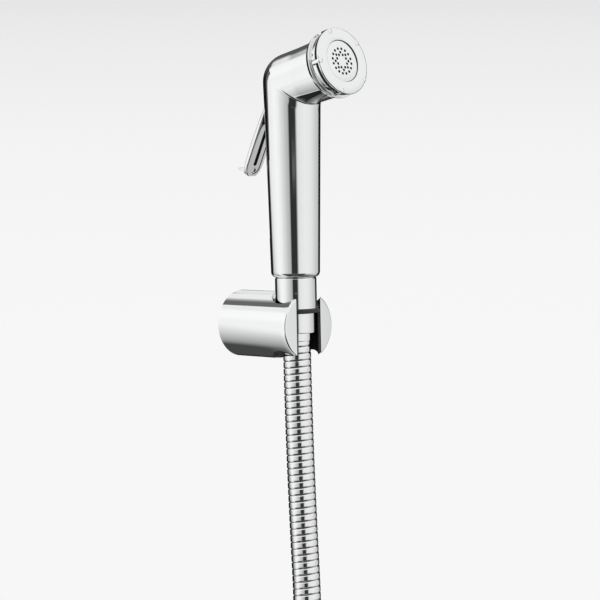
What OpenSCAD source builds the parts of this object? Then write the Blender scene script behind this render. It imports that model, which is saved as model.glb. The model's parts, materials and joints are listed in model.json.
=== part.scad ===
// Handheld bidet shower with a rear lever, its round wall holder and its metal hose.
// The wall is the plane Y = 0, the object stands out to -Y, and +Z is up.
// The origin is the centre of the holder's wall face, and X = 0 is the plane of symmetry.

/* [Wall holder] */
// Radius of the round wall holder
holder_r = 18; // [17.5:0.5:20]
// Length of the holder from the wall to its front face
holder_len = 51; // [50:1:60]
// Radius of the round on the holder's front edge
holder_edge = 0.9; // [0.3:0.1:1.5]
// Radius of the upright socket through the holder
socket_r = 12.9; // [12.7:0.1:13.3]
// Distance from the socket's axis back from the front face
socket_inset = 9.1; // [8.5:0.1:9.8]
// Depth of the hollow at the wall end of the holder
hollow_depth = 20; // [14:1:22]
// Thickness of the boss that is screwed to the wall
boss_t = 9; // [8:0.5:12]
// Wall thickness of the holder round its rear hollow
holder_wall = 4; // [3:0.5:5]
// Distance between the two wall screw holes
screw_spacing = 15; // [13:1:16]
// Radius of each wall screw hole
screw_hole_r = 2.25; // [1.75:0.25:2.5]
// Radius of the grub screw that locks the holder on its boss
grub_r = 2; // [1.5:0.25:2.5]

/* [Seat] */
// Height above the holder's axis of the ledge that carries the handset
ledge_z = 7.2; // [5:0.1:9]
// Width of the liner's front slot, wide enough to pass the hose
slot_w = 16; // [15.5:0.5:17.5]
// Thickness of the black collar that rests on the ledge
collar_h = 2; // [1.5:0.1:3]

/* [Inlet neck] */
// Outside radius of the inlet neck
neck_r = 11.1; // [10.8:0.1:11.4]
// Length of the neck that shows between the collar and the grip
neck_len = 16.8; // [15:0.1:20]
// Radius of the inlet's thread
inlet_thread_r = 8.3; // [7.8:0.1:8.6]
// Height of the neck's spigot inside the grip
neck_spigot = 14; // [13:1:18]

/* [Grip and barrel] */
// Radius of the grip at its lower end
grip_bottom_r = 13.1; // [12.9:0.1:14]
// Radius of the grip at the elbow
grip_top_r = 15.4; // [15:0.1:16]
// Radius of the round on the grip's lower edge
grip_round = 3; // [2:0.1:3]
// Height of the elbow's centre above the holder's axis
elbow_z = 130; // [124:0.1:140]
// Angle of the spray head's axis above the horizontal
head_tilt = 14.4; // [5:0.1:20]
// Distance from the elbow's centre to the spray face
head_reach = 38.8; // [38:0.1:46]
// How far the cap stands proud of the barrel
barrel_step = 2.1; // [1.5:0.1:2.4]
// How far the barrel's axis lies below the cap's where they meet
barrel_sink = 0.7; // [0:0.1:0.9]
// Bore of the lower part of the grip
grip_bore_r = 10; // [9.4:0.1:10]

/* [Spray cap] */
// Largest radius of the cap
cap_r = 18; // [17.8:0.1:19]
// Length of the cap from its rear flange to its face
cap_len = 9; // [8.5:0.1:11]
// Width of the cap's front rim round the spray disc
face_rim = 6.7; // [6:0.1:7.2]
// Thickness of the cap's front wall
cap_front_t = 1.5; // [1.2:0.1:2]
// Number of grip lugs round the cap
lug_count = 5; // [3:1:8]
// Radius of one grip lug
lug_r = 1.5; // [1:0.1:1.8]
// Thickness of the spray disc
disc_t = 2; // [1.5:0.1:2.5]
// Radius of one spray hole
jet_r = 0.6; // [0.3:0.02:0.6]

/* [Lever] */
// Width of the lever's paddle
lever_w = 12; // [10:0.5:12.5]
// Thickness of the paddle
lever_t = 2.2; // [2:0.1:3]
// Length of the lever from its pin to its free end
lever_len = 49; // [44:1:54]
// Angle of the released lever from the vertical
lever_tilt = 26.4; // [25:0.1:32]
// Outer radius of the lip that curls outward at the lever's free end
lip_r = 7.6; // [6:0.1:8]
// Radius of the hinge pin
lever_pin_r = 1.25; // [1:0.05:1.3]
// Width of the lever's hub inside its slot
hub_w = 6.8; // [6:0.1:7]

/* [Valve] */
// Height of the valve's axis below the lever's pin
nose_drop = 12; // [11:0.5:12.5]
// Radius of the valve stem
stem_r = 1.5; // [1.2:0.1:1.7]
// Radius of the hole in the valve seat
seat_hole_r = 2.3; // [2.1:0.1:2.6]
// Radius of the chamber behind the seat
chamber_r = 4.5; // [4.2:0.1:5]
// Outside radius of the water tube
tube_r = 4.5; // [4:0.1:5]
// Wall of the water tube
tube_wall = 1.3; // [0.8:0.1:1.6]

/* [Hose] */
// Outside radius of the metal hose
hose_r = 7.5; // [7:0.1:7.6]
// Radius of the fitting at the handset's end of the hose
fitting_r = 10; // [9.5:0.1:10.4]
// Length of that fitting below the collar
fitting_len = 10.9; // [9:0.1:12]
// Length of the ferrule under the fitting
ferrule_len = 4.3; // [4:0.1:8]
// Width across the flats of the wall-end nut
nut_af = 24; // [24:0.5:27]
// Length of the wall-end nut
nut_len = 16; // [15:0.5:20]
// Minor radius of the wall-end nut's half-inch pipe thread
nut_thread_r = 9.316; // [9.316:0.001:9.4]

/* [Hidden] */

// Fine circles are true circles, and the hose's are plain polygons
round_fn = 96;
small_fn = 48;
hose_sides = 10;
cut = 1;

// Clearances
slip = 0.05;
seat_gap = 0.1;
run_gap = 0.08;
pin_gap = 0.05;
side_gap = 0.3;

chrome = [0.86, 0.87, 0.88];
black = [0.04, 0.04, 0.04];
brass = [0.80, 0.66, 0.35];
rubber = [0.10, 0.10, 0.10];
white_plastic = [0.90, 0.90, 0.88];
steel = [0.72, 0.73, 0.75];

socket_y = holder_len - socket_inset;
boss_hollow_r = holder_r - holder_wall;
boss_r = boss_hollow_r - seat_gap;
liner_r = socket_r - slip;
liner_bore_r = neck_r + 0.2;
liner_trim = 0.3;
liner_key_w = 4;
liner_key_h = 6;
liner_key_depth = 1.2;
collar_r = socket_r - 0.4;

// Heights of the handset's pieces
neck_z = ledge_z + collar_h;
grip_z = neck_z + neck_len;
inlet_roof_z = neck_z + 11.8;
strainer_t = 1;
strainer_hole_r = 0.8;
washer_t = 2;
inlet_top_z = inlet_roof_z - strainer_t - washer_t;
neck_top_z = grip_z + neck_spigot;
neck_chamfer = 0.8;
thread_gap = 0.05;
waterway_r = tube_r - tube_wall;
tube_socket = 6;
tube_seal_depth = 1.4;
neck_seal_depth = 1.75;
tube_foot_z = neck_top_z - tube_socket;

// The valve stands in the upper part of the grip, under the elbow
pin_drop = 6;
pin_z = elbow_z - pin_drop;
pin_y = 12.5;
valve_z = pin_z - nose_drop;
housing_foot_z = valve_z - 16;
housing_top_z = valve_z + 10;
upper_bore_r = grip_top_r - 3.3;
housing_r = upper_bore_r - seat_gap;
bore_cross = 4;
elbow_r = grip_top_r + 0.02;
elbow_band = 14;
elbow_swell = 0.4;
elbow_collar = 2;
tube_head_z = housing_foot_z + 7.7;

// Places along the valve's axis, measured from the grip's axis towards the wall
nose_r = 1.8;
nose_gap = 0.15;
stem_end_y = pin_y - nose_r - nose_gap;
gland_out_y = 7.7;
gland_t = 3;
gland_r = 3.7;
stem_seal_depth = 1.4;
outlet_y = gland_out_y - gland_t;
seat_back_y = outlet_y - 3;
seat_t = 1.4;
seat_y = seat_back_y - seat_t;
valve_seal_t = 1.2;
valve_seal_r = chamber_r - 1.1;
stem_flange_t = 1.4;
flange_y = seat_y - slip - valve_seal_t - slip;
spring_y = flange_y - stem_flange_t;
plug_y = -8.6;
plug_out_y = -11;
spring_wire_r = 0.3;
spring_turns = 5;
spring_r = valve_seal_r - 0.8;

// The spray head, measured along the barrel's axis from the elbow's centre
barrel_r = cap_r - barrel_step;
barrel_len = head_reach - cap_len;
barrel_tilt = head_tilt - atan(barrel_sink / barrel_len);
barrel_neck = 13;
face_open_r = cap_r - face_rim;
spigot_r = barrel_r - 1.5;
spigot_bore_r = spigot_r - 1.4;
disc_front = head_reach - cap_front_t;
disc_back = disc_front - disc_t;
gasket_t = 1;
spigot_end = disc_back - gasket_t;
disc_r = spigot_r - slip;
duct_r = 5;
duct_start = 2;
duct_socket_end = 6;
bell_len = 8.2;

// The lever's slot in the back of the grip
slot_half = hub_w / 2 + side_gap + 0.1;
mouth_half = lever_w / 2 + side_gap;
slot_foot_z = valve_z - 9;
slot_top_z = pin_z + 7;
cheek_y = 8.6;
cheek_half_h = 4.5;
paddle_in = 1;
paddle_inner = -paddle_in - lever_t / 2;
paddle_outer = paddle_inner + lever_t;
hub_r = 3.4;
lip_centre_y = 1.6;
lip_sweep = 80;
oval_rest = 1.5;
neck_end = 6;
shoulder = 2.5;

// The hose
fitting_z = ledge_z - fitting_len;
hose_top_z = fitting_z - ferrule_len;
fitting_bore_r = 4;
fitting_tail_r = hose_r - 1.3;
ferrule_r = hose_r + 0.3;
coil_r = 75;
coil_z = -272;
coil_pitch = 15.3;
coil_start_y = -46;
coil_entry = 27;
coil_exit = 810;
coil_gap = 0.1;
coil_back_y = coil_start_y + hose_r + coil_gap;
coil_front_y = coil_start_y - coil_pitch * (coil_exit - coil_entry) / 360 - hose_r - coil_gap;
tail_y = coil_start_y - coil_pitch * (coil_exit - coil_entry) / 360;
tail_end_z = -322;
tie_w = 8;
tie_t = 1;
tie_gap = 0.2;
tie_angles = [55, 235];

// The hose's way from the handset to its coil
HOSE_ROUTE = [[0, -41.9, -8], [0, -42, -30], [0, -42.8, -68], [0, -44.2, -107], [0, -45.6, -138],
    [0, -46, -150], [2, -46, -166], [8, -46, -181], [18, -46, -194]];

// The end fittings below the tail
end_ferrule_r = hose_r + 1;
end_ferrule_len = 15.6;
end_flange_r = 9.1;
end_flange_t = 2.5;
flange_z = tail_end_z - end_ferrule_len;
end_washer_z = flange_z - end_flange_t;
nut_shoulder_z = flange_z + seat_gap;
nut_lip = 3.5;
nut_top_z = nut_shoulder_z + nut_lip;
nut_mouth_z = nut_top_z - nut_len;
relief_r = nut_thread_r + 0.3;
relief_z = end_washer_z - washer_t;

// Points of an arc about a centre
function arc(cx, cy, r, a0, a1, n) = [for (i = [0:n]) let (a = a0 + (a1 - a0) * i / n)
    [cx + r * cos(a), cy + r * sin(a)]];

// Places children on the grip's upright axis
module on_grip() {
    translate([0, -socket_y, 0]) children();
}

// Places children with their Z along an axis that rises from the elbow's centre to the front
module on_elbow(tilt) {
    on_grip() translate([0, 0, elbow_z]) rotate([90 - tilt, 0, 0]) children();
}

// Places children with their Z along the spray head's axis, starting at the elbow's centre
module on_head() {
    on_elbow(head_tilt) children();
}

// Places children with their Z along the valve towards the wall, starting at the grip's axis
module on_valve() {
    on_grip() translate([0, 0, valve_z]) rotate([-90, 0, 0]) children();
}

// Places children at the lever's pin
module on_pin() {
    on_grip() translate([0, pin_y, pin_z]) children();
}

// A cylinder between two heights
module rod(r, z0, z1, fn = small_fn) {
    translate([0, 0, z0]) cylinder(r = r, h = z1 - z0, $fn = fn);
}

// A cone between two heights
module cone(r0, r1, z0, z1, fn = small_fn) {
    translate([0, 0, z0]) cylinder(r1 = r0, r2 = r1, h = z1 - z0, $fn = fn);
}

// A washer or sleeve between two heights
module sleeve(r, bore, z0, z1, fn = small_fn) {
    difference() {
        rod(r, z0, z1, fn);
        rod(bore, z0 - cut, z1 + cut, fn);
    }
}

// A rubber ring of round section that fills the gap between two radii
module oring(inner, outer, z) {
    section_r = (outer - inner) / 2 - slip;
    translate([0, 0, z]) rotate_extrude($fn = small_fn)
        translate([(outer + inner) / 2, 0]) circle(r = section_r, $fn = 24);
}

// The holder's outside, with its front edge rounded
module holder_outside(r, len, edge) {
    rotate([90, 0, 0]) rotate_extrude($fn = round_fn)
        polygon(concat([[0, 0], [r, 0]], arc(r - edge, len - edge, edge, 0, 90, 8), [[0, len]]));
}

module holder_body() {
    key_w = liner_key_w + 2 * slip;
    key_h = liner_key_h + 2 * slip;
    color(chrome) difference() {
        holder_outside(holder_r, holder_len, holder_edge);
        on_grip() rod(socket_r, -holder_r - cut, holder_r + cut, round_fn);
        rotate([90, 0, 0]) rod(boss_hollow_r, -cut, hollow_depth);
        translate([0, -boss_t / 2, 0]) rotate([180, 0, 0]) rod(grub_r + slip, 0, holder_r + cut);
        on_grip() translate([-key_w / 2, 0, -key_h / 2])
            cube([key_w, liner_r + liner_key_depth + slip, key_h]);
    }
}

module seat_liner() {
    color(black) difference() {
        intersection() {
            union() {
                on_grip() rod(liner_r, -holder_r, ledge_z, round_fn);
                on_grip() translate([-liner_key_w / 2, 0, -liner_key_h / 2])
                    cube([liner_key_w, liner_r + liner_key_depth, liner_key_h]);
            }
            holder_outside(holder_r - liner_trim, holder_len - liner_trim, holder_edge);
        }
        on_grip() rod(liner_bore_r, -holder_r - cut, ledge_z + cut, round_fn);
        on_grip() translate([-slot_w / 2, -holder_r - cut, -holder_r - cut])
            cube([slot_w, holder_r + cut, 2 * holder_r + 2 * cut]);
    }
}

module wall_boss() {
    sink_r = screw_hole_r + 2;
    color(steel) difference() {
        rotate([90, 0, 0]) rod(boss_r, 0, boss_t, round_fn);
        for (side = [-1, 1]) translate([side * screw_spacing / 2, 0, 0]) rotate([90, 0, 0]) {
            rod(screw_hole_r, -cut, boss_t + cut);
            cone(screw_hole_r, sink_r, boss_t - 2, boss_t);
            rod(sink_r, boss_t, boss_t + cut);
        }
    }
}

module grub_screw() {
    head_z = holder_r - 0.6;
    color(steel) translate([0, -boss_t / 2, 0]) rotate([180, 0, 0]) difference() {
        rod(grub_r, boss_hollow_r, head_z);
        rod(grub_r * 0.55, head_z - 1.6, head_z + cut, 6);
    }
}

module collar_ring() {
    bevel = 0.3;
    color(black) on_grip() rotate_extrude($fn = round_fn) polygon([
        [inlet_thread_r + slip, ledge_z], [collar_r - bevel, ledge_z], [collar_r, ledge_z + bevel],
        [collar_r, neck_z - bevel], [collar_r - bevel, neck_z], [inlet_thread_r + slip, neck_z]]);
}

module inlet_neck() {
    spigot = grip_bore_r - slip;
    groove_z = grip_z + 4;
    groove_w = 2;
    color(chrome) on_grip() difference() {
        union() {
            rod(neck_r, neck_z, grip_z - neck_chamfer, round_fn);
            cone(neck_r, neck_r - neck_chamfer, grip_z - neck_chamfer, grip_z, round_fn);
            rod(spigot, grip_z, neck_top_z, round_fn);
        }
        rod(inlet_thread_r + thread_gap, neck_z - cut, inlet_roof_z);
        rod(waterway_r, inlet_roof_z - cut, neck_top_z + cut);
        rod(tube_r + slip, tube_foot_z, neck_top_z + cut);
        sleeve(spigot + cut, spigot - neck_seal_depth, groove_z, groove_z + groove_w, round_fn);
        rod(tube_r + tube_seal_depth, neck_top_z - 4, neck_top_z - 2);
    }
}

module neck_oring() {
    color(rubber) on_grip() oring(grip_bore_r - slip - neck_seal_depth, grip_bore_r, grip_z + 5);
}

module inlet_strainer() {
    r = inlet_thread_r - slip;
    color(steel) on_grip() difference() {
        rod(r, inlet_roof_z - strainer_t, inlet_roof_z);
        for (ring = [1:2], i = [0:6 * ring - 1]) rotate([0, 0, i * 60 / ring])
            translate([ring * r / 3, 0, 0]) rod(strainer_hole_r, inlet_roof_z - strainer_t - cut,
                inlet_roof_z + cut, 6);
    }
}

module inlet_washer() {
    color(rubber) on_grip()
        sleeve(inlet_thread_r - slip, fitting_bore_r, inlet_top_z, inlet_top_z + washer_t);
}

// The grip's outside from its rounded foot to the ball of the elbow
module grip_outside() {
    foot_r = grip_bottom_r - grip_round;
    rotate_extrude($fn = round_fn) polygon(concat([[0, grip_z]],
        arc(foot_r, grip_z + grip_round, grip_round, -90, 0, 12),
        [[grip_top_r - elbow_swell, elbow_z - elbow_band], [grip_top_r, elbow_z - elbow_collar],
            [grip_top_r, elbow_z], [0, elbow_z]]));
    translate([0, 0, elbow_z]) sphere(r = elbow_r, $fn = round_fn);
}

// The barrel's outside: it swells towards the cap, and ends square to the head's axis
module barrel_outside() {
    difference() {
        on_elbow(barrel_tilt) union() {
            rod(grip_top_r, 0, barrel_neck, round_fn);
            cone(grip_top_r, barrel_r, barrel_neck, barrel_len, round_fn);
            rod(barrel_r, barrel_len, barrel_len + cut, round_fn);
        }
        on_head() rod(barrel_r + barrel_step, barrel_len, barrel_len + 3 * cut, round_fn);
    }
}

// The lever's slot through the back of the grip: narrow at the pin, wide below it, with a round foot
module lever_slot() {
    step_z = pin_z - cheek_half_h;
    foot_z = slot_foot_z + mouth_half;
    translate([-slot_half, cheek_y - cut, step_z - cut])
        cube([2 * slot_half, grip_top_r, slot_top_z - step_z + cut]);
    translate([-mouth_half, cheek_y - cut, foot_z])
        cube([2 * mouth_half, grip_top_r, step_z - foot_z]);
    translate([0, cheek_y - cut, foot_z]) rotate([-90, 0, 0]) rod(mouth_half, 0, grip_top_r);
}

// The two inner cheeks that hold the hinge pin
module pin_cheeks() {
    for (side = [-1, 1]) translate([side < 0 ? -grip_top_r : slot_half, cheek_y, pin_z - cheek_half_h])
        cube([grip_top_r - slot_half, grip_top_r, 2 * cheek_half_h]);
}

module handset_body() {
    color(chrome) difference() {
        union() {
            on_grip() grip_outside();
            barrel_outside();
            on_head() rod(spigot_r, 0, spigot_end, round_fn);
        }
        on_grip() rod(grip_bore_r, grip_z - cut, housing_foot_z + cut, round_fn);
        difference() {
            on_grip() rod(upper_bore_r, housing_foot_z, elbow_z + bore_cross, round_fn);
            on_grip() pin_cheeks();
        }
        on_head() rod(spigot_bore_r, -bore_cross, spigot_end + cut, round_fn);
        on_grip() lever_slot();
        on_pin() rotate([0, 90, 0]) rod(lever_pin_r + 0.01, -grip_top_r, grip_top_r);
    }
}

module water_tube() {
    color(white_plastic) on_grip() sleeve(tube_r, waterway_r, tube_foot_z, tube_head_z);
}

module tube_seals() {
    color(rubber) on_grip() {
        oring(tube_r, tube_r + tube_seal_depth, neck_top_z - 3);
        oring(tube_r, tube_r + tube_seal_depth, housing_foot_z + 3);
    }
}

module valve_housing() {
    outlet_w = 7;
    outlet_t = 2.6;
    outlet_mid = outlet_y - 1.5;
    stack_r = duct_r + 2;
    color(brass) difference() {
        union() {
            on_grip() rod(housing_r, housing_foot_z, housing_top_z, round_fn);
            on_grip() rod(stack_r + 0.4, housing_top_z - cut, elbow_z + 3);
            on_head() rod(stack_r, 0, duct_socket_end);
        }
        on_grip() translate([-slot_half, gland_out_y, slot_foot_z])
            cube([2 * slot_half, housing_r, elbow_z]);
        on_grip() translate([-housing_r, gland_out_y, pin_z - cheek_half_h - 1])
            cube([2 * housing_r, housing_r, elbow_z]);
        on_valve() rod(gland_r + slip, outlet_y, housing_r + cut);
        on_valve() rod(gland_r - 0.4, seat_back_y, outlet_y + cut);
        on_valve() rod(seat_hole_r, seat_y - cut, seat_back_y + cut);
        on_valve() rod(chamber_r, -housing_r - cut, seat_y);
        on_grip() rod(tube_r + slip, housing_foot_z - cut, tube_head_z + 0.3);
        on_grip() rod(tube_r + tube_seal_depth, housing_foot_z + 2, housing_foot_z + 4);
        on_grip() translate([0, -2.4, 0]) rod(2.3, tube_head_z, valve_z);
        on_grip() translate([-outlet_w / 2, outlet_mid - outlet_t / 2, valve_z])
            cube([outlet_w, outlet_t, elbow_z - valve_z]);
        on_head() rod(waterway_r + 0.2, -3, duct_start + cut);
        on_head() rod(duct_r + slip, duct_start, duct_socket_end + cut);
        on_head() rod(stack_r + cut, duct_socket_end, duct_socket_end + stack_r);
    }
}

module valve_gland() {
    key_hole_r = 0.5;
    key_hole_depth = 0.6;
    key_hole_x = gland_r - 0.8;
    color(brass) on_valve() difference() {
        rod(gland_r, outlet_y, gland_out_y);
        rod(stem_r + run_gap, outlet_y - cut, gland_out_y + cut);
        rod(stem_r + stem_seal_depth, outlet_y - cut, outlet_y + 1.5);
        for (side = [-1, 1]) translate([side * key_hole_x, 0, 0])
            rod(key_hole_r, gland_out_y - key_hole_depth, gland_out_y + cut, 16);
    }
}

module stem_oring() {
    color(rubber) on_valve() oring(stem_r, stem_r + stem_seal_depth, outlet_y + 0.75);
}

module valve_stem() {
    dome = 0.5;
    color(steel) on_valve() rotate_extrude($fn = small_fn) polygon([
        [0, spring_y - 2.2], [stem_r - 0.3, spring_y - 2.2], [stem_r - 0.3, spring_y],
        [valve_seal_r - 0.1, spring_y], [valve_seal_r - 0.1, flange_y], [stem_r, flange_y],
        [stem_r, stem_end_y - dome], [stem_r - dome, stem_end_y], [0, stem_end_y]]);
}

module valve_seal() {
    color(rubber) on_valve()
        sleeve(valve_seal_r, stem_r + slip, seat_y - slip - valve_seal_t, seat_y - slip);
}

// One ring of points round the spring's wire at an angle of its helix
function wire_ring(a, r, z, wire) = [for (k = [0:5]) let (t = k * 60)
    [(r + wire * cos(t)) * cos(a), (r + wire * cos(t)) * sin(a), z + wire * sin(t)]];

// Side faces of a tube swept through n rings of m points, with its two ends closed
function tube_faces(n, m) = concat(
    [for (i = [0:n - 2], k = [0:m - 1]) [i * m + k, i * m + (k + 1) % m, (i + 1) * m + (k + 1) % m]],
    [for (i = [0:n - 2], k = [0:m - 1]) [i * m + k, (i + 1) * m + (k + 1) % m, (i + 1) * m + k]],
    [[for (k = [0:m - 1]) m - 1 - k]], [[for (k = [0:m - 1]) (n - 1) * m + k]]);

module valve_spring() {
    steps = 12 * spring_turns;
    z0 = plug_y + slip + spring_wire_r;
    rise = spring_y - slip - spring_wire_r - z0;
    rings = [for (i = [0:steps]) wire_ring(i * 30, spring_r, z0 + rise * i / steps, spring_wire_r)];
    color(steel) on_valve() polyhedron(points = [for (ring = rings) each ring],
        faces = [for (f = tube_faces(steps + 1, 6)) [f[0], for (j = [len(f) - 1:-1:1]) f[j]]]);
}

module valve_plug() {
    color(brass) on_valve() difference() {
        rod(chamber_r - slip, plug_out_y, plug_y);
        rod(2.3, plug_out_y - cut, plug_out_y + 1.5, 6);
    }
}

// The paddle's side view along its own length: straight, then a lip that curls outward
module paddle_side() {
    centre = lip_r - lever_len;
    corner = 180 + acos((lip_centre_y - paddle_inner) / lip_r);
    throat = 180 + acos((lip_centre_y - paddle_outer) / (lip_r - lever_t));
    tip = corner + lip_sweep;
    polygon(concat([[paddle_inner, 0]], arc(lip_centre_y, centre, lip_r, corner, tip, 12),
        arc(lip_centre_y, centre, lip_r - lever_t, tip, throat, 10), [[paddle_outer, 0]]));
    translate([lip_centre_y, centre]) rotate(tip) translate([lip_r - lever_t / 2, 0])
        circle(r = lever_t / 2, $fn = 24);
}

// The paddle's front view: a neck between the cheeks, shoulders, and sides that end in a long oval
module paddle_front() {
    half = lever_w / 2;
    neck = hub_w / 2;
    oval = 2 * half;
    foot = lever_len + oval_rest;
    polygon(concat([[neck, 0], [neck, -neck_end], [half, -neck_end - shoulder]],
        [for (a = [0:7.5:180]) [half * cos(a), oval - foot - oval * sin(a)]],
        [[-half, -neck_end - shoulder], [-neck, -neck_end], [-neck, 0]]));
}

// The lip seen along the paddle: it narrows to a round tip
module paddle_end() {
    half = lever_w / 2;
    reach = lip_centre_y + lip_r;
    polygon(concat([[half, paddle_inner - cut]], [for (a = [0:7.5:180]) [half * cos(a), reach * sin(a)]],
        [[-half, paddle_inner - cut]]));
}

// A slot with round ends, cut into the paddle's inner face between two distances from the pin
module paddle_slot(half, depth, s0, s1) {
    translate([0, paddle_inner - cut, 0]) {
        translate([-half, 0, -s1]) cube([2 * half, depth + cut, s1 - s0]);
        for (end = [s0, s1]) translate([0, 0, -end]) rotate([-90, 0, 0]) rod(half, 0, depth + cut);
    }
}

// The nose's side view: it reaches from the hub down to the valve, and back to the paddle
module nose_side() {
    nose_back = (nose_drop + nose_r) * tan(lever_tilt);
    polygon([[1 - hub_r, 0], [-nose_r, -nose_drop], [nose_r, -nose_drop], [nose_back, -nose_drop - nose_r],
        [hub_r - 1, 0]]);
    translate([0, -nose_drop]) circle(r = nose_r, $fn = 24);
}

module lever() {
    slot_start = 20;
    dish_half = 4.1;
    dish_depth = 0.35;
    groove_half = 1.7;
    groove_depth = 1.3;
    pocket_r = 2;
    pocket_s = lever_len - 2.1 * pocket_r;
    pocket_depth = 1;
    color(chrome) on_pin() difference() {
        union() {
            rotate([lever_tilt, 0, 0]) intersection() {
                rotate([90, 0, 90]) translate([0, 0, -lever_w])
                    linear_extrude(2 * lever_w) paddle_side();
                rotate([90, 0, 0]) translate([0, 0, -lever_len])
                    linear_extrude(2 * lever_len) paddle_front();
                translate([0, 0, -2 * lever_len])
                    linear_extrude(3 * lever_len) paddle_end();
            }
            rotate([0, 90, 0]) rod(hub_r, -hub_w / 2, hub_w / 2);
            rotate([90, 0, 90]) translate([0, 0, -hub_w / 2])
                linear_extrude(hub_w) nose_side();
        }
        rotate([0, 90, 0]) rod(lever_pin_r + pin_gap, -lever_w, lever_w);
        rotate([lever_tilt, 0, 0]) {
            paddle_slot(dish_half, dish_depth, slot_start, pocket_s - pocket_r);
            paddle_slot(groove_half, groove_depth, slot_start, pocket_s - 2 * pocket_r);
            translate([0, paddle_inner - cut, -pocket_s]) rotate([-90, 0, 0])
                rod(pocket_r, 0, pocket_depth + cut);
        }
    }
}

module lever_pin() {
    half = sqrt(pow(grip_top_r, 2) - pow(pin_y + lever_pin_r, 2)) - 0.6;
    color(steel) on_pin() rotate([0, 90, 0]) rod(lever_pin_r, -half, half);
}

module head_duct() {
    bell_r = spigot_bore_r - slip;
    bell_z = spigot_end - bell_len;
    color(white_plastic) on_head() rotate_extrude($fn = round_fn) polygon([
        [waterway_r + 0.2, duct_start], [duct_r, duct_start], [duct_r, bell_z - 4], [bell_r, bell_z],
        [bell_r, spigot_end], [bell_r - 1.5, spigot_end], [bell_r - 1.5, spigot_end - 3],
        [waterway_r + 0.2, bell_z - 2]]);
}

module head_gasket() {
    color(rubber) on_head() sleeve(disc_r, spigot_bore_r - 1.2, spigot_end, disc_back, round_fn);
}

// One ring of spray holes
module jet_ring(count, r, turn) {
    for (i = [0:count - 1]) rotate([0, 0, turn + i * 360 / count]) translate([r, 0, 0])
        cylinder(r = jet_r, h = disc_t + 2 * cut, $fn = 16);
}

module spray_disc() {
    color(chrome) on_head() difference() {
        rod(disc_r, disc_back, disc_front, round_fn);
        translate([0, 0, disc_back - cut]) {
            jet_ring(16, face_open_r * 0.6, 11.25);
            jet_ring(8, face_open_r * 0.425, 0);
            jet_ring(8, face_open_r * 0.32, 22.5);
        }
    }
}

module cap_ring() {
    rim = 0.35;
    face_z = head_reach;
    waist_r = cap_r - 1.4;
    groove_r = cap_r - 2;
    flange_z = barrel_len + 1.8;
    bore = spigot_r + slip;
    lug_len = 5.2;
    lug_proud = 0.2;
    color(chrome) on_head() union() {
        rotate_extrude($fn = round_fn) polygon([
            [bore, barrel_len], [cap_r + 0.1 - rim, barrel_len], [cap_r + 0.1, barrel_len + rim],
            [cap_r + 0.1, flange_z - rim], [cap_r + 0.1 - rim, flange_z], [groove_r, flange_z],
            [groove_r, flange_z + 0.6], [waist_r, flange_z + 0.6], [cap_r - 0.7, face_z - 1.3],
            [cap_r, face_z - 1.1], [cap_r, face_z - rim], [cap_r - rim, face_z],
            [face_open_r, face_z], [face_open_r, disc_front], [bore, disc_front]]);
        for (i = [0:lug_count - 1]) rotate([0, 0, 180 + i * 360 / lug_count])
            translate([cap_r - lug_r, 0, 0]) rod(lug_r, face_z - lug_len, face_z + lug_proud);
    }
}

module hose_top_fitting() {
    bevel = 0.4;
    color(chrome) on_grip() rotate_extrude($fn = round_fn) polygon([
        [fitting_bore_r, hose_top_z], [fitting_tail_r, hose_top_z], [fitting_tail_r, fitting_z],
        [fitting_r - bevel, fitting_z], [fitting_r, fitting_z + bevel], [fitting_r, ledge_z - bevel],
        [fitting_r - bevel, ledge_z], [inlet_thread_r - slip, ledge_z], [inlet_thread_r - slip, inlet_top_z],
        [fitting_bore_r, inlet_top_z]]);
}

module hose_top_ferrule() {
    color(chrome) on_grip() sleeve(ferrule_r, fitting_tail_r + slip, hose_top_z, fitting_z, round_fn);
}

// Unit direction of a route at one of its points
function heading(p, i) = let (d = p[min(i + 1, len(p) - 1)] - p[max(i - 1, 0)]) d / norm(d);

// One ring of points round a route, square to its heading
function route_ring(c, dir, r, m) =
    let (side = cross([0, 1, 0], dir), u = side / norm(side), v = cross(dir, u))
    [for (k = [0:m - 1]) c + r * cos(k * 360 / m) * u + r * sin(k * 360 / m) * v];

module hose_run() {
    n = len(HOSE_ROUTE);
    rings = [for (i = [0:n - 1]) route_ring(HOSE_ROUTE[i],
        i == 0 ? [0, 0, -1] : heading(HOSE_ROUTE, i), hose_r, hose_sides)];
    color(steel) polyhedron(points = [for (ring = rings) each ring],
        faces = [for (f = tube_faces(n, hose_sides)) [f[0], for (j = [len(f) - 1:-1:1]) f[j]]]);
}

// The coil's section with round ends, grown on all sides: X is across the turns, Y is the way to the front
module coil_section(grow) {
    r = hose_r + coil_gap + grow;
    depth = coil_back_y - coil_front_y;
    polygon(concat(arc(0, r - grow, r, 180, 360, 12), arc(0, depth + grow - r, r, 0, 180, 12)));
}

// The outer shape of the wound hose, its axis square to the wall
module hose_coil() {
    color(steel) translate([0, coil_back_y, coil_z]) rotate([90, 0, 0]) rotate_extrude($fn = 64)
        translate([coil_r, 0]) coil_section(0);
}

module hose_tail() {
    color(steel) translate([coil_r, tail_y, 0]) rod(hose_r, tail_end_z, coil_z, hose_sides);
}

module coil_ties() {
    for (a = tie_angles) color(black) translate([0, coil_back_y, coil_z]) rotate([0, a, 0])
        translate([0, 0, coil_r]) rotate([180, -90, 0]) translate([0, 0, -tie_w / 2]) linear_extrude(tie_w)
            difference() {
                coil_section(tie_gap + tie_t);
                coil_section(tie_gap);
            }
}

// Places children on the axis of the hose's hanging end
module on_tail() {
    translate([coil_r, tail_y, 0]) children();
}

module hose_end_ferrule() {
    color(chrome) on_tail() sleeve(end_ferrule_r, fitting_tail_r + slip, flange_z, tail_end_z, round_fn);
}

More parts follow.
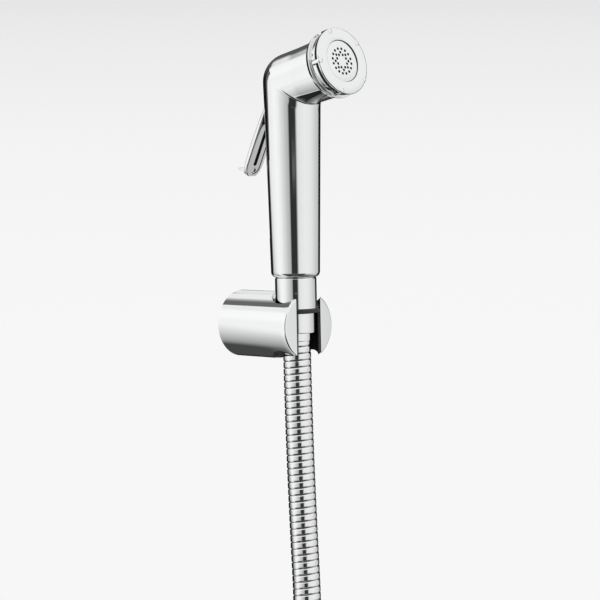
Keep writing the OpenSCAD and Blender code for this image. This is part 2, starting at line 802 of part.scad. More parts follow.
module hose_end_insert() {
    color(brass) on_tail() rotate_extrude($fn = round_fn) polygon([
        [fitting_bore_r, end_washer_z], [end_flange_r, end_washer_z], [end_flange_r, flange_z],
        [fitting_tail_r, flange_z], [fitting_tail_r, tail_end_z], [fitting_bore_r, tail_end_z]]);
}

module hose_end_washer() {
    color(rubber) on_tail() sleeve(end_flange_r, fitting_bore_r, relief_z, end_washer_z);
}

module hose_nut() {
    corner_r = nut_af / sqrt(3);
    bevel = 1.6;
    color(chrome) on_tail() difference() {
        intersection() {
            rod(corner_r, nut_mouth_z, nut_top_z, 6);
            rotate_extrude($fn = round_fn) polygon([
                [0, nut_mouth_z], [corner_r - bevel, nut_mouth_z], [corner_r + 0.1, nut_mouth_z + 1],
                [corner_r + 0.1, nut_top_z - 1], [corner_r - bevel, nut_top_z], [0, nut_top_z]]);
        }
        rod(end_ferrule_r + run_gap, nut_shoulder_z - cut, nut_top_z + cut, round_fn);
        rod(relief_r, relief_z, nut_shoulder_z, round_fn);
        rod(nut_thread_r, nut_mouth_z - cut, relief_z + slip, round_fn);
        cone(nut_thread_r + 1, nut_thread_r, nut_mouth_z, nut_mouth_z + 1, round_fn);
    }
}

holder_body();
seat_liner();
wall_boss();
grub_screw();
collar_ring();
inlet_neck();
neck_oring();
inlet_strainer();
inlet_washer();
handset_body();
water_tube();
tube_seals();
valve_housing();
valve_gland();
stem_oring();
valve_stem();
valve_seal();
valve_spring();
valve_plug();
lever();
lever_pin();
head_duct();
head_gasket();
spray_disc();
cap_ring();
hose_top_fitting();
hose_top_ferrule();
hose_run();
hose_coil();
hose_tail();
coil_ties();
hose_end_ferrule();
hose_end_insert();
hose_end_washer();
hose_nut();
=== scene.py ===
import json
import math

import bmesh
import bpy
from bpy.props import FloatProperty, FloatVectorProperty, IntProperty, PointerProperty
from mathutils import Matrix, Vector


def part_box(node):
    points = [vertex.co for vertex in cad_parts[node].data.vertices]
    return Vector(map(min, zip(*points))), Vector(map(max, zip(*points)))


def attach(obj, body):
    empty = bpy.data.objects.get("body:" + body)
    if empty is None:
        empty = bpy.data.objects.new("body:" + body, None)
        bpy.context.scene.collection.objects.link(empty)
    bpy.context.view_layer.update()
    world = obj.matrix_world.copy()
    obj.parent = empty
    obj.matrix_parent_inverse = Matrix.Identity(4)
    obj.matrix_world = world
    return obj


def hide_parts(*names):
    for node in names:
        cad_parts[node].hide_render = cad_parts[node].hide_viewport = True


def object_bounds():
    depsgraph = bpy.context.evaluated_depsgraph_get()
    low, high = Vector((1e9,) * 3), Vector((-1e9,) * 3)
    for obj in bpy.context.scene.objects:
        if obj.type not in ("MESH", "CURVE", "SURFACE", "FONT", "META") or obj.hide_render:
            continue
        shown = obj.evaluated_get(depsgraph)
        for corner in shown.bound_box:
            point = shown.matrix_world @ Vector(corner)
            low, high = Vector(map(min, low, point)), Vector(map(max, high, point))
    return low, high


bl_info = {
    "name": "Bidet Shower Studio",
    "version": (1, 0, 0),
    "blender": (4, 5, 0),
    "location": "3D View > Sidebar > Bidet Shower",
    "description": "Builds the looks of a handheld bidet shower with its holder and hose",
    "category": "Object",
}

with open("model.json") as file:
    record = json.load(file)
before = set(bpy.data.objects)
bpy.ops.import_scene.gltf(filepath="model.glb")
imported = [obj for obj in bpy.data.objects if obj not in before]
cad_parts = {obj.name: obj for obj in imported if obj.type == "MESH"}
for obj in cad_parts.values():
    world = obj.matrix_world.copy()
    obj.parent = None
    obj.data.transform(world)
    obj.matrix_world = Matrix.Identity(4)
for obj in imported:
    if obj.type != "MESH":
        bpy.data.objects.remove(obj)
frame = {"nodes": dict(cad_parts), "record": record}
nodes = frame["nodes"]
CAD_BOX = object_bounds()

# Sizes are in millimetres until a mesh is made
MM = 0.001
ROUND = 144
FINE = 96
SMALL = 48

# Places on the object that several pieces share
HOLDER_LOW, HOLDER_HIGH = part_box("holder_body")
NECK_LOW, NECK_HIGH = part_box("inlet_neck")
COLLAR_LOW, COLLAR_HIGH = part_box("collar_ring")
GRIP_Y = (NECK_LOW.y + NECK_HIGH.y) / 2 / MM
LEDGE_Z = COLLAR_LOW.z / MM
NECK_Z = COLLAR_HIGH.z / MM
NECK_TOP_Z = 26.0
ELBOW_Z = 130
HEAD_TILT = 14.4
BARREL_TILT = 13.05
FACE_AT = 38.8
PIN_Y = GRIP_Y + 12.5
PIN_Z = ELBOW_Z - 6
VALVE_Z = PIN_Z - 12

# The hose's way from the handset to its coil, as the frame's own solids follow it
HOSE_ROUTE = [(0, -0.0419, -0.008), (0, -0.042, -0.03), (0, -0.0428, -0.068), (0, -0.0442, -0.107),
              (0, -0.0456, -0.138), (0, -0.046, -0.15), (0.002, -0.046, -0.166), (0.008, -0.046, -0.181),
              (0.018, -0.046, -0.194)]
COIL_CENTRE_Z = -0.272
COIL_RADIUS = 0.075
COIL_PITCH = 0.0153
COIL_BACK_Y = -0.046
COIL_FROM = 27
COIL_TO = 810
TAIL_END_Z = -0.322


class StageSettings(bpy.types.PropertyGroup):
    """Camera and light of the studio."""

    azimuth: FloatProperty(name="Azimuth", description="Camera's turn round the object", default=math.radians(-45.5),
                           subtype="ANGLE")
    pitch: FloatProperty(name="Pitch", description="Camera's height above the horizon", default=math.radians(3.8),
                         subtype="ANGLE")
    roll: FloatProperty(name="Roll", description="Camera's lean", default=math.radians(1.1), subtype="ANGLE")
    distance: FloatProperty(name="Distance", description="From the camera to its target", default=1.2299,
                            unit="LENGTH")
    target: FloatVectorProperty(name="Target", description="Point at the picture's centre",
                                default=(0.001445, -0.043399, 0.013694), subtype="TRANSLATION")
    lens: FloatProperty(name="Lens", description="Focal length in millimetres", default=138.0)
    backdrop: FloatProperty(name="Backdrop", description="Brightness of the pale backdrop", default=0.93)
    fill: FloatProperty(name="Fill", description="Brightness of the even studio light", default=0.8)


class HandsetSettings(bpy.types.PropertyGroup):
    """Sizes of the handset, in millimetres."""

    foot_radius: FloatProperty(name="Foot radius", description="Grip's radius at its lower end", default=13.1)
    foot_round: FloatProperty(name="Foot round", description="Round on the grip's lower edge", default=3.0)
    waist_radius: FloatProperty(name="Waist radius", description="Grip's radius under the elbow", default=15.0)
    elbow_radius: FloatProperty(name="Elbow radius", description="Grip's radius at the elbow", default=15.4)
    barrel_radius: FloatProperty(name="Barrel radius", description="Barrel's radius at the cap", default=15.9)
    fillet: FloatProperty(name="Fillet", description="Round inside the elbow", default=1.2)
    cap_radius: FloatProperty(name="Cap radius", description="Largest radius of the spray cap", default=18.0)
    cap_length: FloatProperty(name="Cap length", description="From the cap's flange to its face", default=9.0)
    opening: FloatProperty(name="Opening", description="Radius of the cap's front opening", default=11.3)
    lug_radius: FloatProperty(name="Lug radius", description="Radius of one grip lug", default=1.6)
    lugs: IntProperty(name="Lugs", description="Grip lugs round the cap", default=5)
    jet_radius: FloatProperty(name="Jet radius", description="Radius of one spray hole", default=0.76)


class LeverSettings(bpy.types.PropertyGroup):
    """Sizes of the lever, in millimetres."""

    length: FloatProperty(name="Length", description="From the pin to the free end", default=49.0)
    width: FloatProperty(name="Width", description="Width of the paddle", default=12.0)
    thickness: FloatProperty(name="Thickness", description="Thickness of the paddle", default=2.2)
    tilt: FloatProperty(name="Tilt", description="Released lever from the vertical", default=math.radians(26.4),
                        subtype="ANGLE")
    lip_radius: FloatProperty(name="Lip radius", description="Outer radius of the curled lip", default=7.6)
    groove_width: FloatProperty(name="Groove width", description="Width of the paddle's groove", default=2.4)
    groove_depth: FloatProperty(name="Groove depth", description="Depth of the paddle's groove", default=1.3)


class HoseSettings(bpy.types.PropertyGroup):
    """Sizes of the ribbed metal hose."""

    radius: FloatProperty(name="Radius", description="Outside radius", default=0.0075, unit="LENGTH")
    pitch: FloatProperty(name="Pitch", description="Width of one turn of the wound strip", default=0.0036,
                         unit="LENGTH")
    groove: FloatProperty(name="Groove", description="Depth of the groove between two turns", default=0.0007,
                          unit="LENGTH")
    sides: IntProperty(name="Sides", description="Points round the hose", default=28)
    steps: IntProperty(name="Steps", description="Points across one turn of the strip", default=8)


class FinishSettings(bpy.types.PropertyGroup):
    """Colours of the finishes."""

    chrome: FloatVectorProperty(name="Chrome", description="Polished plate", default=(0.87, 0.875, 0.88),
                                subtype="COLOR", min=0, max=1)
    black: FloatVectorProperty(name="Black plastic", description="Liner and collar", default=(0.012, 0.012, 0.013),
                               subtype="COLOR", min=0, max=1)
    rubber: FloatVectorProperty(name="Rubber", description="Seals and ties", default=(0.03, 0.03, 0.031),
                                subtype="COLOR", min=0, max=1)
    brass: FloatVectorProperty(name="Brass", description="Valve and insert", default=(0.72, 0.53, 0.26),
                               subtype="COLOR", min=0, max=1)
    white: FloatVectorProperty(name="White plastic", description="Water tube and duct", default=(0.82, 0.82, 0.8),
                               subtype="COLOR", min=0, max=1)
    steel: FloatVectorProperty(name="Steel", description="Pin, stem, spring and screw", default=(0.62, 0.63, 0.65),
                               subtype="COLOR", min=0, max=1)
    zinc: FloatVectorProperty(name="Zinc", description="Cast wall boss", default=(0.5, 0.51, 0.52),
                              subtype="COLOR", min=0, max=1)


class Wire:
    """A socket in a node tree. Its operators add Math nodes, and node() adds any other node."""

    def __init__(self, tree, socket=None):
        self.tree = tree
        self.socket = socket

    def node(self, kind, settings=None, values=None, out=0):
        made = self.tree.nodes.new(kind)
        for name, value in (settings or {}).items():
            if name == "stops":
                set_stops(made.color_ramp, value)
            else:
                setattr(made, name, value)
        for name, value in (values or {}).items():
            if isinstance(value, Wire):
                self.tree.links.new(value.socket, made.inputs[name])
            else:
                made.inputs[name].default_value = value
        return Wire(self.tree, made.outputs[out])

    def other(self, out):
        """Another output of the same node."""
        return Wire(self.tree, self.socket.node.outputs[out])

    def math(self, operation, *values, clamp=False):
        kind = "ShaderNodeMath"
        return self.node(kind, {"operation": operation, "use_clamp": clamp}, dict(enumerate(values)))

    def vector(self, operation, *values, out=0):
        return self.node("ShaderNodeVectorMath", {"operation": operation}, dict(enumerate(values)), out)

    def smooth(self, low, high):
        """0 below low and 1 above high, with a soft step between."""
        values = {"Value": self, "From Min": low, "From Max": high}
        return self.node("ShaderNodeMapRange", {"interpolation_type": "SMOOTHSTEP"}, values)

    def window(self, low, low_end, high, high_end):
        """1 between two soft edges and 0 outside them."""
        return self.smooth(low, low_end) * (1 - self.smooth(high, high_end))

    def ramp(self, low, high, stops):
        """A grey read from (place, grey) stops between two places. Greys may pass 1."""
        peak = max(grey for place, grey in stops)
        spots = [((place - low) / (high - low), grey / peak) for place, grey in stops]
        part = (self - low) / (high - low)
        return self.node("ShaderNodeValToRGB", {"stops": spots}, {"Fac": part}) * peak

    def __add__(self, other):
        return self.math("ADD", self, other)

    def __radd__(self, other):
        return self.math("ADD", other, self)

    def __sub__(self, other):
        return self.math("SUBTRACT", self, other)

    def __rsub__(self, other):
        return self.math("SUBTRACT", other, self)

    def __mul__(self, other):
        return self.math("MULTIPLY", self, other)

    def __rmul__(self, other):
        return self.math("MULTIPLY", other, self)

    def __truediv__(self, other):
        return self.math("DIVIDE", self, other)

    def __pow__(self, other):
        return self.math("POWER", self, other)

    def __mod__(self, other):
        return self.math("MODULO", self, other)


def set_stops(ramp, stops):
    """Sets a ramp's stops from pairs of a place and a grey or colour."""
    while len(ramp.elements) > 1:
        ramp.elements.remove(ramp.elements[-1])
    for i, (place, colour) in enumerate(stops):
        stop = ramp.elements[0] if i == 0 else ramp.elements.new(place)
        stop.position = place
        stop.color = (colour, colour, colour, 1) if isinstance(colour, (int, float)) else (*colour, 1)


# Meshes

def steps(start, end, count):
    """Numbers from start to end, both kept, in a count of equal steps."""
    return [start + (end - start) * i / count for i in range(count + 1)]


def arc(centre_x, centre_y, radius, start, end, count):
    """Points of an arc, its angles in degrees."""
    return [(centre_x + radius * math.cos(math.radians(a)), centre_y + radius * math.sin(math.radians(a)))
            for a in steps(start, end, count)]


def filleted(corners, count=5):
    """An outline through (x, y, round) corners, each round drawn as an arc that touches both its sides."""
    points = []
    for i, (x, y, radius) in enumerate(corners):
        if radius == 0:
            points.append((x, y))
            continue
        here = Vector((x, y))
        back = (Vector(corners[i - 1][:2]) - here).normalized()
        ahead = (Vector(corners[(i + 1) % len(corners)][:2]) - here).normalized()
        half = back.angle(ahead) / 2
        centre = here + (back + ahead).normalized() * radius / math.sin(half)
        start = here + back * radius / math.tan(half) - centre
        turn = (here + ahead * radius / math.tan(half) - centre).angle_signed(start)
        for k in range(count + 1):
            a = turn * k / count
            points.append((centre.x + start.x * math.cos(a) - start.y * math.sin(a),
                           centre.y + start.x * math.sin(a) + start.y * math.cos(a)))
    return points


def new_object(name, mesh):
    made = bpy.data.objects.new(name, mesh)
    bpy.context.scene.collection.objects.link(made)
    return made


def smooth_by_angle(mesh, degrees=32):
    """Shades a mesh smooth, apart from its edges sharper than an angle."""
    mesh.polygons.foreach_set("use_smooth", [True] * len(mesh.polygons))
    mesh.set_sharp_from_angle(angle=math.radians(degrees))


def mesh_object(name, points, faces, place=Matrix.Identity(4)):
    """An object from points in millimetres, set in place by a matrix in millimetres."""
    mesh = bpy.data.meshes.new(name)
    mesh.from_pydata([place @ Vector(p) * MM for p in points], [], faces)
    work = bmesh.new()
    work.from_mesh(mesh)
    bmesh.ops.remove_doubles(work, verts=work.verts, dist=1e-7)
    bmesh.ops.recalc_face_normals(work, faces=work.faces)
    work.to_mesh(mesh)
    work.free()
    smooth_by_angle(mesh)
    return new_object(name, mesh)


def grid_faces(columns, rows, closed_rows):
    """Quads between columns that close on themselves, their rows closed too or left open."""
    span = rows if closed_rows else rows - 1
    return [[c * rows + r, (c + 1) % columns * rows + r, (c + 1) % columns * rows + (r + 1) % rows,
             c * rows + (r + 1) % rows] for c in range(columns) for r in range(span)]


def lathe(name, outline, place=Matrix.Identity(4), sides=ROUND, closed=True):
    """A turned piece: an outline of (radius, height) points, spun about the upright axis."""
    points = []
    for k in range(sides):
        turn = 2 * math.pi * k / sides
        points += [(r * math.cos(turn), r * math.sin(turn), z) for r, z in outline]
    return mesh_object(name, points, grid_faces(sides, len(outline), closed), place)


def prism(name, outline, low, high, place=Matrix.Identity(4)):
    """A closed outline of (x, y) points between two heights."""
    n = len(outline)
    points = [(x, y, z) for z in (low, high) for x, y in outline]
    faces = [list(range(n)), list(range(n, 2 * n))] + [[i, (i + 1) % n, n + (i + 1) % n, n + i] for i in range(n)]
    return mesh_object(name, points, faces, place)


def rod(name, radius, low, high, place=Matrix.Identity(4), sides=ROUND):
    return prism(name, arc(0, 0, radius, 0, 360 * (sides - 1) / sides, sides - 1), low, high, place)


def box(name, low, high, place=Matrix.Identity(4)):
    (x0, y0, z0), (x1, y1, z1) = low, high
    return prism(name, [(x0, y0), (x1, y0), (x1, y1), (x0, y1)], z0, z1, place)


def evaluated_mesh(made):
    """The object's mesh with its modifiers in it, and the modifiers gone."""
    bpy.context.view_layer.update()
    graph = bpy.context.evaluated_depsgraph_get()
    mesh = bpy.data.meshes.new_from_object(made.evaluated_get(graph), depsgraph=graph)
    made.modifiers.clear()
    return mesh


def combine(made, operation, *others):
    """Unites a solid with others or cuts them from it, and removes them."""
    for other in others:
        cutter = made.modifiers.new(operation, "BOOLEAN")
        cutter.operation = operation
        cutter.solver = "MANIFOLD"
        cutter.object = other
    made.data = evaluated_mesh(made)
    for other in others:
        bpy.data.objects.remove(other)
    smooth_by_angle(made.data)
    return made


def upright(x, y, z=0):
    """A place with its axis upright."""
    return Matrix.Translation((x, y, z))


def along(origin, degrees):
    """A place whose upright axis is turned about X by an angle."""
    return Matrix.Translation(origin) @ Matrix.Rotation(math.radians(degrees), 4, "X")


GRIP = upright(0, GRIP_Y)
HEAD = along((0, GRIP_Y, ELBOW_Z), 90 - HEAD_TILT)
PIN = upright(0, PIN_Y, PIN_Z)
OUT_OF_WALL = along((0, 0, 0), 90)
CROSSWISE = Matrix.Rotation(math.radians(90), 4, "Y")


# Node trees for geometry

class Geometry(Wire):
    """A geometry node tree with its inputs, as wires."""

    def __init__(self, name, **inputs):
        tree = bpy.data.node_groups.new(name, "GeometryNodeTree")
        super().__init__(tree)
        tree.interface.new_socket("Geometry", in_out="INPUT", socket_type="NodeSocketGeometry")
        for label, value in inputs.items():
            kind = "NodeSocketInt" if isinstance(value, int) else "NodeSocketFloat"
            tree.interface.new_socket(label, in_out="INPUT", socket_type=kind).default_value = value
        tree.interface.new_socket("Geometry", in_out="OUTPUT", socket_type="NodeSocketGeometry")
        source = tree.nodes.new("NodeGroupInput")
        self.input = {socket.name: Wire(tree, socket) for socket in source.outputs}

    def end(self, geometry, material):
        """Realises, sets the material and joins the tree's output."""
        real = self.node("GeometryNodeRealizeInstances", values={"Geometry": geometry})
        dressed = self.node("GeometryNodeSetMaterial", values={"Geometry": real, "Material": material})
        sink = self.tree.nodes.new("NodeGroupOutput")
        self.tree.links.new(dressed.socket, sink.inputs["Geometry"])

    def apply(self, made, **values):
        """Runs the tree on an object with values for its inputs, and gives the mesh that comes out."""
        modifier = made.modifiers.new(self.tree.name, "NODES")
        modifier.node_group = self.tree
        for item in self.tree.interface.items_tree:
            if item.in_out == "INPUT" and item.name in values:
                modifier[item.identifier] = values[item.name]
        return evaluated_mesh(made)


def strip_hose_tree(material):
    """A metal strip wound round the input curve, its turns meeting in grooves."""
    g = Geometry("wound_strip", Radius=0.0075, Pitch=0.0036, Groove=0.0007, Sides=28, Steps=8)
    path, sides, across = g.input["Geometry"], g.input["Sides"], g.input["Steps"]
    pitch = g.input["Pitch"]
    length = g.node("GeometryNodeCurveLength", values={"Curve": path})
    rows = (length / pitch + 1) * sides
    grid = g.node("GeometryNodeMeshGrid", values={"Vertices X": rows + 1, "Vertices Y": across + 1})
    index = g.node("GeometryNodeInputIndex")
    row = (index / (across + 1)).math("FLOOR", index / (across + 1))
    column = index - row * (across + 1)
    part = column / across
    far = (row / sides - 1 + part) * pitch
    far = far.math("MAXIMUM", far.math("MINIMUM", far, length), 0.0)
    sample = g.node("GeometryNodeSampleCurve", {"mode": "LENGTH"}, {"Curves": path, "Length": far}, out="Position")
    tangent, normal = sample.other("Tangent"), sample.other("Normal")
    binormal = g.vector("CROSS_PRODUCT", tangent, normal)
    turn = row * (2 * math.pi) / sides
    groove = (part * 2 - 1).math("ABSOLUTE", part * 2 - 1)
    radius = g.input["Radius"] - g.input["Groove"] * groove ** 10
    side_a = g.vector("SCALE", normal)
    g.tree.links.new((turn.math("COSINE", turn) * radius).socket, side_a.socket.node.inputs["Scale"])
    side_b = g.vector("SCALE", binormal)
    g.tree.links.new((turn.math("SINE", turn) * radius).socket, side_b.socket.node.inputs["Scale"])
    place = g.vector("ADD", sample, g.vector("ADD", side_a, side_b))
    wound = g.node("GeometryNodeSetPosition", values={"Geometry": grid, "Position": place})
    stored = g.node("GeometryNodeStoreNamedAttribute", {"data_type": "FLOAT", "domain": "POINT"},
                    {"Geometry": wound, "Name": "groove", "Value": groove})
    merged = g.node("GeometryNodeMergeByDistance", values={"Geometry": stored, "Distance": 0.00001})
    g.end(g.node("GeometryNodeSetShadeSmooth", values={"Geometry": merged}), material)
    return g


def ring_tree(material):
    """Copies of the input solid on a ring about the upright axis, each turned with its place."""
    g = Geometry("ring_of_parts", Count=5, Radius=0.0, Turn=0.0)
    count = g.input["Count"]
    line = g.node("GeometryNodeMeshLine", values={"Count": count, "Offset": (0, 0, 0)})
    turn = g.node("GeometryNodeInputIndex") / count * (2 * math.pi) + g.input["Turn"]
    radius = g.input["Radius"]
    spot = g.node("ShaderNodeCombineXYZ", values={"X": turn.math("COSINE", turn) * radius,
                                                  "Y": turn.math("SINE", turn) * radius})
    ring = g.node("GeometryNodeSetPosition", values={"Geometry": line, "Position": spot})
    angle = g.node("ShaderNodeCombineXYZ", values={"Z": turn})
    parts = g.node("GeometryNodeInstanceOnPoints",
                   values={"Points": ring, "Instance": g.input["Geometry"], "Rotation": angle})
    g.end(parts, material)
    return g


def ring_of(part, place, count, radius=0.0, turn=0.0):
    """Puts copies of a solid on a ring and moves them to their place, all as one object."""
    tree = ring_tree(part.active_material)
    mesh = tree.apply(part, Count=count, Radius=radius * MM, Turn=math.radians(turn))
    scaled = place.copy()
    scaled.translation = place.translation * MM
    mesh.transform(scaled)
    part.data = mesh
    smooth_by_angle(mesh)
    return part


# Materials

def material(name, build):
    """A material whose surface is what build returns for its tree."""
    made = bpy.data.materials.new(name)
    made.use_nodes = True
    tree = made.node_tree
    tree.nodes.clear()
    surface = build(Wire(tree))
    sink = tree.nodes.new("ShaderNodeOutputMaterial")
    tree.links.new(surface.socket, sink.inputs["Surface"])
    return made


def at_object(w, scale=1.0):
    """Object coordinates, scaled."""
    place = w.node("ShaderNodeTexCoord", out="Object")
    return w.node("ShaderNodeMapping", values={"Vector": place, "Scale": (scale,) * 3})


def noise(w, scale, detail=4.0, rough=0.5):
    values = {"Vector": at_object(w), "Scale": scale, "Detail": detail, "Roughness": rough}
    return w.node("ShaderNodeTexNoise", {"noise_dimensions": "3D"}, values)


def tint(w, mask, dark, light):
    """A colour between two, by a mask."""
    values = {"Factor": mask, 6: (*dark, 1), 7: (*light, 1)}
    return w.node("ShaderNodeMix", {"data_type": "RGBA"}, values, out=2)


def bump(w, height, strength, distance):
    return w.node("ShaderNodeBump", values={"Height": height, "Strength": strength, "Distance": distance})


def scaled(colour, factor):
    return tuple(c * factor for c in colour)


def chrome_shader(colour, rough=0.03, smudge=0.03):
    """Polished plate with faint wiping marks in its gloss."""
    def build(w):
        marks = noise(w, 90.0, 6.0, 0.6).smooth(0.45, 0.75)
        wave = noise(w, 60.0, 2.0)
        values = {"Base Color": tint(w, marks, colour, scaled(colour, 0.985)), "Metallic": 1.0,
                  "Roughness": rough + marks * smudge,
                  "Normal": bump(w, wave, 0.2, 0.0001)}
        return w.node("ShaderNodeBsdfPrincipled", values=values)
    return build


def hose_shader(colour):
    """Bright wound strip with painted shade in its grooves, which are darker and rougher."""
    def build(w):
        groove = w.node("ShaderNodeAttribute", {"attribute_name": "groove"}, out="Fac")
        # Painted shade: the grooves' colour falls to 0.12 of the strip's
        painted_groove_shade = groove.smooth(0.8, 1.0)
        marks = noise(w, 300.0, 5.0, 0.6)
        values = {"Base Color": tint(w, painted_groove_shade, colour, scaled(colour, 0.12)), "Metallic": 1.0,
                  "Roughness": 0.06 + marks * 0.06 + painted_groove_shade * 0.3,
                  "Normal": bump(w, noise(w, 2500.0, 2.0), 0.03, 0.00001)}
        return w.node("ShaderNodeBsdfPrincipled", values=values)
    return build


def moulded_shader(colour, rough, grain, depth):
    """Moulded plastic or rubber with a fine grain and uneven gloss."""
    def build(w):
        patches = noise(w, 60.0, 4.0)
        values = {"Base Color": tint(w, patches, scaled(colour, 0.85), colour),
                  "Roughness": rough + patches * 0.12,
                  "Normal": bump(w, noise(w, grain, 3.0), 0.35, depth)}
        return w.node("ShaderNodeBsdfPrincipled", values=values)
    return build


def turned_shader(colour, rough, tool_marks, axis):
    """Turned metal with the fine rings of the tool about its axis."""
    def build(w):
        place = w.node("ShaderNodeSeparateXYZ", values={"Vector": at_object(w)}, out=axis)
        rings = (place * tool_marks).math("SINE", place * tool_marks) * 0.5 + 0.5
        patches = noise(w, 150.0, 4.0)
        values = {"Base Color": tint(w, patches, scaled(colour, 0.9), colour), "Metallic": 1.0,
                  "Roughness": rough + patches * 0.1 + rings * 0.05,
                  "Normal": bump(w, rings, 0.15, 0.00002)}
        return w.node("ShaderNodeBsdfPrincipled", values=values)
    return build


def cast_shader(colour):
    """Cast metal, unplated, with a coarse skin."""
    def build(w):
        grain = noise(w, 900.0, 6.0, 0.65)
        values = {"Base Color": tint(w, grain, scaled(colour, 0.8), colour), "Metallic": 1.0,
                  "Roughness": 0.42 + grain * 0.15,
                  "Normal": bump(w, grain, 0.4, 0.0001)}
        return w.node("ShaderNodeBsdfPrincipled", values=values)
    return build


FINISH = {}


def make_finishes(colours):
    chrome = tuple(colours.chrome)
    steel = tuple(colours.steel)
    FINISH.update({
        "chrome": material("polished_chrome", chrome_shader(chrome)),
        "hose_steel": material("wound_steel", hose_shader(chrome)),
        "black_plastic": material("black_plastic", moulded_shader(tuple(colours.black), 0.3, 900.0, 0.00003)),
        "rubber": material("seal_rubber", moulded_shader(tuple(colours.rubber), 0.6, 1500.0, 0.00006)),
        "white_plastic": material("white_plastic", moulded_shader(tuple(colours.white), 0.38, 700.0, 0.00003)),
        "brass": material("turned_brass", turned_shader(tuple(colours.brass), 0.2, 14000.0, "Z")),
        "steel": material("turned_steel", turned_shader(steel, 0.22, 16000.0, "Y")),
        "zinc": material("cast_zinc", cast_shader(tuple(colours.zinc))),
        # Painted shade: black plastic's colour laid flat on chrome grooves, gaps, recess walls and jet bores, where the
        # real parts show shade and dark reflections
        "painted_shade": material("painted_shade", moulded_shader(tuple(colours.black), 0.7, 900.0, 0.00003)),
    })


def dress(made, finish):
    """Gives a piece one finish."""
    made.data.materials.clear()
    made.data.materials.append(FINISH[finish])
    return made


def fit(made, body, *replaced):
    """Lets a finished piece ride on its body and stand for frame nodes."""
    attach(made, body)
    if replaced:
        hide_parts(*replaced)
    return made


# The hose

def smooth_route(points, per_span=8):
    """A smooth line through points, with a count of steps in each span."""
    line = []
    for i in range(len(points) - 1):
        before, here = points[max(i - 1, 0)], points[i]
        ahead, after = points[i + 1], points[min(i + 2, len(points) - 1)]
        for k in range(per_span):
            t = k / per_span
            line.append(0.5 * (2 * here + (ahead - before) * t
                               + (2 * before - 5 * here + 4 * ahead - after) * t ** 2
                               + (3 * here - before - 3 * ahead + after) * t ** 3))
    return line + [points[-1]]


def coil_point(degrees):
    turn = math.radians(degrees)
    depth = COIL_BACK_Y - COIL_PITCH * (degrees - COIL_FROM) / 360
    return Vector((COIL_RADIUS * math.sin(turn), depth, COIL_CENTRE_Z + COIL_RADIUS * math.cos(turn)))


def hose_path():
    """The hose's centreline from the handset through the coil to its hanging end."""
    turns = [coil_point(a) for a in steps(COIL_FROM, COIL_TO, round((COIL_TO - COIL_FROM) / 13.5))]
    end = turns[-1]
    tail = [Vector((end.x, end.y, z)) for z in steps(end.z, TAIL_END_Z, 5)][1:]
    return smooth_route([Vector(p) for p in HOSE_ROUTE] + turns + tail)


def path_length(path):
    return sum((b - a).length for a, b in zip(path, path[1:]))


def make_hose(settings):
    path = hose_path()
    curve = bpy.data.curves.new("hose", "CURVE")
    curve.dimensions = "3D"
    spline = curve.splines.new("POLY")
    spline.points.add(len(path) - 1)
    for point, place in zip(spline.points, path):
        point.co = (*place, 1)
    made = new_object("hose_line", curve)
    mesh = strip_hose_tree(FINISH["hose_steel"]).apply(
        made, Radius=settings.radius, Pitch=settings.pitch, Groove=settings.groove, Sides=settings.sides,
        Steps=settings.steps)
    bpy.data.objects.remove(made)
    hose = new_object("ribbed_hose", mesh)
    fit(hose, "root", "hose_run", "hose_coil", "hose_tail")
    return hose, path


# The handset

def grip_radius(z, size):
    """The grip's radius at a height: it widens slowly, then a little more under the elbow."""
    places = ((NECK_TOP_Z + size.foot_round, size.foot_radius), (ELBOW_Z - 14, size.waist_radius),
              (ELBOW_Z - 2, size.elbow_radius), (ELBOW_Z, size.elbow_radius))
    for (low, r0), (high, r1) in zip(places, places[1:]):
        if z <= high:
            return r0 + (r1 - r0) * (z - low) / (high - low)
    return size.elbow_radius


def barrel_radius(reach, length, size):
    """The barrel's radius along its axis: it swells towards the cap."""
    return size.elbow_radius + (size.barrel_radius - size.elbow_radius) * max(0, reach - 13) / (length - 13)


def handset_skin(size):
    """Columns of points that run up the grip, round the elbow and out along the barrel to its spigot."""
    length = FACE_AT - size.cap_length
    bend = math.radians(90 - BARREL_TILT)
    skew = math.radians(HEAD_TILT - BARREL_TILT)
    lean = math.tan(bend / 2)
    forward = Vector((0, -math.sin(bend), math.cos(bend)))
    upward = Vector((0, math.cos(bend), math.sin(bend)))
    head_forward, head_upward = HEAD.col[2].xyz, -HEAD.col[1].xyz
    foot = arc(size.foot_radius - size.foot_round, NECK_TOP_Z + size.foot_round, size.foot_round, -90, 0, 10)
    points = []
    rows = 0
    for k in range(FINE):
        turn = 2 * math.pi * (k + 0.5) / FINE
        side, out = math.sin(turn), math.cos(turn)
        column = [Vector((r * side, r * out, z - ELBOW_Z)) for r, z in foot]
        reach = size.elbow_radius * out
        blend = size.fillet * min(1, abs(reach) / 4)
        if reach >= 0:
            centre, radius = Vector((0, 0, 0)), reach
        else:
            centre, radius = Vector((0, -1, -lean)) * (blend - reach), blend
        top = centre.z
        for z in steps(NECK_TOP_Z + size.foot_round - ELBOW_Z, top, 40)[1:-1]:
            r = grip_radius(z + ELBOW_Z, size)
            column.append(Vector((r * side, r * out, z)))
        for a in steps(0, bend, 18):
            way = Vector((0, math.cos(a), math.sin(a)))
            column.append(Vector((size.elbow_radius * side, 0, 0)) + centre + radius * way)
        start = centre.dot(forward)
        end = (length - size.barrel_radius * out * math.sin(skew)) / math.cos(skew)
        for t in steps(start, end - 0.25, 14)[1:]:
            r = barrel_radius(t, length, size)
            column.append(Vector((r * side, 0, 0)) + r * out * upward + t * forward)
        r = size.barrel_radius - 0.25
        column.append(Vector((r * side, 0, 0)) + r * out * upward + end * forward)
        r = size.barrel_radius - 1.5
        for t in (length, FACE_AT - 4.5):
            column.append(Vector((r * side, 0, 0)) + r * out * head_upward + t * head_forward)
        rows = len(column)
        points += column
    return points, rows


